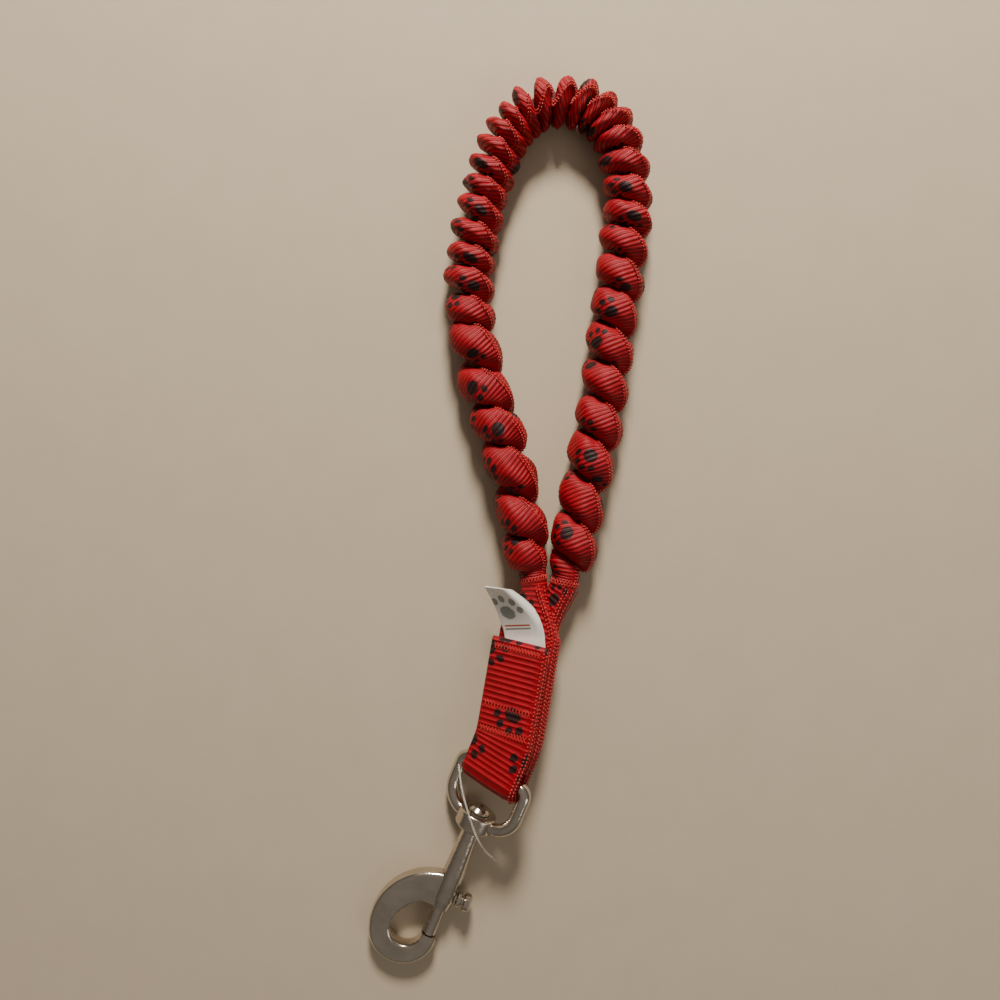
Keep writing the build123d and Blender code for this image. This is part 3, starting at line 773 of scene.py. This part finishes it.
def left_webbing():
    """The left leg's webbing, sewn in between the two runs and ending short of the bar."""
    height = -strap_inside + 0.05 + strap_t / 2
    inside = run_points(height, 4.3, stack_top, 150)
    start = in_stack(stack_x, stack_top, height)
    neck = left_end + left_in * neck_overlap
    leg = leg_line(start, stack_along, neck, left_in, 5.5, 120)
    share = smooth_step(np.linspace(0, 1, 120), 0, 1)[:, None]
    leg_across = np.array(stack_across) * (1 - share) + np.array(left_side) * share
    runs = [(inside[0], inside[1], *flat(150)), (leg, leg_across, *leg_sections(120))]
    return join_runs(runs)


eye_band = eye_webbing()
left_band = left_webbing()
front_paws = [  # round the webbing from its right-hand edge, along it, and turn in degrees
    (30.8, 24.2, 335.0),
    (20.6, 37.6, 20.0),
    (38.8, 35.4, 330.0),
    (27.7, -3.2, 0.0),
    (22.2, 4.0, 75.0),
    (38.2, -2.6, 340.0),
    (29.0, 62.0, 80.0),
    (26.0, 88.0, 10.0),
    (9.4, 116.0, 25.0),
    (14.5, 127.5, 60.0),
]
left_paws = [(13.0, 50.5, 200.0), (15.5, 66.0, 150.0), (27.0, 30.0, 60.0), (30.0, 50.0, 200.0)]

eye_rings = band_rings(*eye_band, flat_ends=(True, False))
eye_piece = link("eye_webbing", tube_mesh("eye_webbing", *eye_rings), "lead")
eye_piece.data.materials.append(webbing("red_grosgrain_eye_run", front_paws))
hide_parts("eye_strap")

left_rings = band_rings(*left_band, flat_ends=(True, False))
left_piece = link("left_leg_webbing", tube_mesh("left_leg_webbing", *left_rings), "lead")
left_piece.data.materials.append(webbing("red_grosgrain_left_leg", left_paws))
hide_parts("left_leg_strap")

# ---- Stitching -----------------------------------------------------------------------------------


def zigzag(place, half_length, width, count):
    """Strokes of a bar tack: place(x, y) gives a point and the way out of the cloth."""
    strokes = []
    for k in range(count):
        x = -width / 2 + width * (k + 0.5) / count
        step = width / count
        for sign in (-1, 1):
            start, out = place(x - sign * step * 0.5, -half_length)
            end, _ = place(x + sign * step * 0.5, half_length)
            strokes.append((start, end, out))
    return strokes


tack_stations = {"upper": 40.2, "middle": 22.0, "lower": 14.0}
tack_half_length, tack_width, tack_stitches = 1.2, 16.4, 15
neck_tack_half_length, neck_tack_stitches = 1.05, 26
tack_thread_r, edge_thread_r = 0.11, 0.21
for station, y in tack_stations.items():
    strokes = []
    for side in (1, -1):
        face = strap_inside + strap_t + 0.16

        def on_face(x, dy, side=side, y=y, face=face):
            return in_stack(stack_x + x, y + dy, side * face), stack_normal * side

        strokes += zigzag(on_face, tack_half_length, tack_width, tack_stitches)
    tack_data = strokes_mesh(f"tack_{station}", strokes, tack_thread_r)
    tack = link(f"tack_stitches_{station}", tack_data, "lead")
    tack.data.materials.append(red_thread)
    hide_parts(f"bar_tack_{station}")

for side_name, end, inside, side in (
    ("left", left_end, left_in, left_side),
    ("right", right_end, right_in, right_side),
):
    above = side.cross(inside)

    def round_neck(x, dy, end=end, inside=inside, side=side, above=above):
        angle = x / (neck_r + 0.2)
        out = side * sin(angle) + above * cos(angle)
        return end + inside * (1.1 + dy) + out * (neck_r + 0.12), out

    strokes = zigzag(round_neck, neck_tack_half_length, 2 * pi * neck_r, neck_tack_stitches)
    tack_data = strokes_mesh("neck", strokes, tack_thread_r)
    tack = link(f"neck_stitches_{side_name}", tack_data, "lead")
    tack.data.materials.append(red_thread)
    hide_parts(f"{side_name}_leg_tack")


def edge_strokes(band, start, stop):
    """Rows of stitches along a band's right-hand edge: two on one face, two on the edge and one on the
    other face.
    """
    centres, across, half_width, half_depth, _ = band
    ahead_here = unit(np.gradient(centres, axis=0))
    across = unit(across - ahead_here * np.sum(across * ahead_here, axis=1, keepdims=True))
    out = np.cross(across, ahead_here)
    reach = run_length(centres)
    strokes = []
    rows = [(-1.45, 1.04, 1), (-0.55, 0.97, 1), (0.04, 0.42, 0.5), (0.04, -0.42, -0.5), (-0.55, -0.97, -1)]
    for number, (inset, height, tilt) in enumerate(rows):
        line = centres + across * (half_width + inset)[:, None] + out * (half_depth * height)[:, None]
        stretch = run_length(line)[-1] / reach[-1]
        places = np.arange(start + 0.37 * number % 1.1, stop, 1.12)
        for s in places:
            a, b = at_stations(line, np.array([s, s + 0.66]) * stretch)
            normal = np.array([np.interp(s, reach, (across * (1 - abs(tilt)) + out * tilt)[:, k])
                               for k in range(3)])
            strokes.append((a, b, normal))
    return strokes


eye_reach = run_length(eye_band[0])[-1]
left_reach = run_length(left_band[0])[-1]
strokes = edge_strokes(eye_band, 1.0, eye_reach - 2) + edge_strokes(left_band, 1.5, left_reach - 2)
edge_data = strokes_mesh("strap_edge", strokes, edge_thread_r)
edge_piece = link("strap_edge_stitches", edge_data, "lead")
edge_piece.data.materials.append(red_thread)
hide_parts("edge_seam")

# ---- Label ---------------------------------------------------------------------------------------

label_width, label_tab, label_reach = 14.0, 8.0, 16.5
label_turn, label_lift = radians(14.0), radians(25.0)
label_under = 1.4  # from the stack's middle plane
label_slack = 1.4  # flat beyond the front run
label_plies = 0.42  # thickness
label_shift = 2.3  # to the right of the stack's middle line


def label_mesh():
    """A folded satin ribbon: flat where it is sewn in, then rising and curling over to the right."""
    root = in_stack(stack_x + label_shift, front_top - label_tab, label_under)
    across = stack_across * cos(label_turn) + stack_along * sin(label_turn)
    along = stack_normal.cross(across)
    flag_start = label_tab + label_slack + label_width / 2 * tan(label_turn)
    length = flag_start + label_reach
    rows, columns = 90, 48
    grid = []
    for i in range(rows + 1):
        y = length * i / rows
        free = min(max((y - flag_start + 1.5) / (label_reach + 1.5), 0), 1)
        rise = free**1.4
        row = []
        for j in range(columns + 1):
            x = label_width * (j / columns - 0.5)
            # The right-hand side rolls down round a soft fold.
            fold, roll_r = 5.5 - 7.0 * free**1.3, 2.8
            past = max(x - fold, 0.0)
            turned = min(past / roll_r, radians(105) * min(1.0, free * 1.6))
            straight = past - turned * roll_r
            cross = min(x, fold) + roll_r * sin(turned) + straight * cos(turned)
            drop = roll_r * (1 - cos(turned)) + straight * sin(turned)
            wave = 0.4 * free * sin(1.1 + x * 0.5)
            height = rise * label_reach * tan(label_lift) * 1.05 - drop + wave
            height = max(height, 0.6 * min(1.0, free * 4))
            cross -= free**1.5 * 2.4
            ahead_y = y - free * free * (1.4 + 0.17 * (x + label_width / 2))
            row.append(root + across * cross + along * ahead_y + stack_normal * height)
        grid.append(row)
    points = [p for row in grid for p in row]
    width = columns + 1
    faces = [
        (i * width + j, i * width + j + 1, (i + 1) * width + j + 1, (i + 1) * width + j)
        for i in range(rows)
        for j in range(columns)
    ]
    mesh = bpy.data.meshes.new("satin_label")
    mesh.from_pydata([p * MM for p in points], [], faces)
    layer = mesh.uv_layers.new(name="strap")
    for loop in mesh.loops:
        i, j = divmod(loop.vertex_index, width)
        layer.data[loop.index].uv = (label_width * (j / columns - 0.5), length * i / rows)
    mesh.polygons.foreach_set("use_smooth", [True] * len(faces))
    mesh.update()
    return mesh, length


label_data, label_length = label_mesh()
label = link("satin_label", label_data, "lead")
label.data.materials.append(satin())
thick = label.modifiers.new("plies", "SOLIDIFY")
thick.thickness = label_plies * MM
thick.offset = 0
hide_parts("sewn_label")

# ---- Filament ------------------------------------------------------------------------------------

eye_out = bar_axis.cross(-snap_axis)
filament_points = [
    (bar_centre + bar_axis * x - snap_axis * y + eye_out * z) * MM for x, y, z in filament_route
]
filament = curve_object("clear_filament", filament_points, 16)
filament.data.bevel_depth = 0.3 * MM
filament.data.bevel_resolution = 3
filament.data.use_fill_caps = True
filament.data.materials.append(clear_nylon())
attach(filament, "eye")
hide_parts("tag_filament")

# ---- Return spring, which the bolt presses together ----------------------------------------------

spring_node = bpy.data.objects["return_spring"]
bpy.context.view_layer.update()
spring_mesh = spring_node.data.copy()
spring_mesh.transform(spring_node.matrix_world)
spring_mesh.materials.clear()
spring_mesh.materials.append(drawn_wire())
coil = link("coil_spring", spring_mesh, "snap")
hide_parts("return_spring")
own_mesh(coil)

# ---- CAD nodes that stay -------------------------------------------------------------------------

node_materials = {
    nickel(): ["swivel_eye", "swivel_rivet", "snap_body", "bolt", "thumb_knob"],
    braid(): ["bungee_jacket"],
    rubber_strands(): ["bungee_rubber"],
}
for material, names in node_materials.items():
    for name in names:
        node = frame["nodes"][name]
        node.data.materials.clear()
        node.data.materials.append(material)

# ---- Floor and light -----------------------------------------------------------------------------

floor_data = bpy.data.meshes.new("floor")
floor_reach = 3.0
floor_corners = [(x * floor_reach, y * floor_reach, 0) for x, y in ((-1, -1), (1, -1), (1, 1), (-1, 1))]
floor_data.from_pydata(floor_corners, [], [(0, 1, 2, 3)])
floor = bpy.data.objects.new("floor", floor_data)
bpy.context.scene.collection.objects.link(floor)
floor.data.materials.append(floor_material())


def area_light(name, place, target, size, power, colour):
    data = bpy.data.lights.new(name, "AREA")
    data.shape = "DISK"
    data.size = size
    data.energy = power
    data.color = colour
    lamp = bpy.data.objects.new(name, data)
    lamp.location = place
    lamp.rotation_euler = (Vector(target) - Vector(place)).to_track_quat("-Z", "Y").to_euler()
    bpy.context.scene.collection.objects.link(lamp)


area_light("key", (0.03, 0.72, 0.46), (0, 0.02, 0), 0.20, 12.5, (1.0, 0.91, 0.80))
area_light("fill", (0.50, -0.45, 0.55), (0, 0, 0), 0.45, 0.9, (1.0, 0.93, 0.85))

world = bpy.data.worlds.new("studio")
world.use_nodes = True
bpy.context.scene.world = world
background = world.node_tree.nodes["Background"]
where = world.node_tree.nodes.new("ShaderNodeTexCoord")
split = world.node_tree.nodes.new("ShaderNodeSeparateXYZ")
ramp = world.node_tree.nodes.new("ShaderNodeValToRGB")
ramp.color_ramp.elements[0].color = (0.24, 0.215, 0.185, 1)
ramp.color_ramp.elements[1].color = (0.62, 0.56, 0.48, 1)
world.node_tree.links.new(where.outputs["Generated"], split.inputs[0])
world.node_tree.links.new(split.outputs[2], ramp.inputs[0])
world.node_tree.links.new(ramp.outputs[0], background.inputs[0])
background.inputs[1].default_value = 0.38
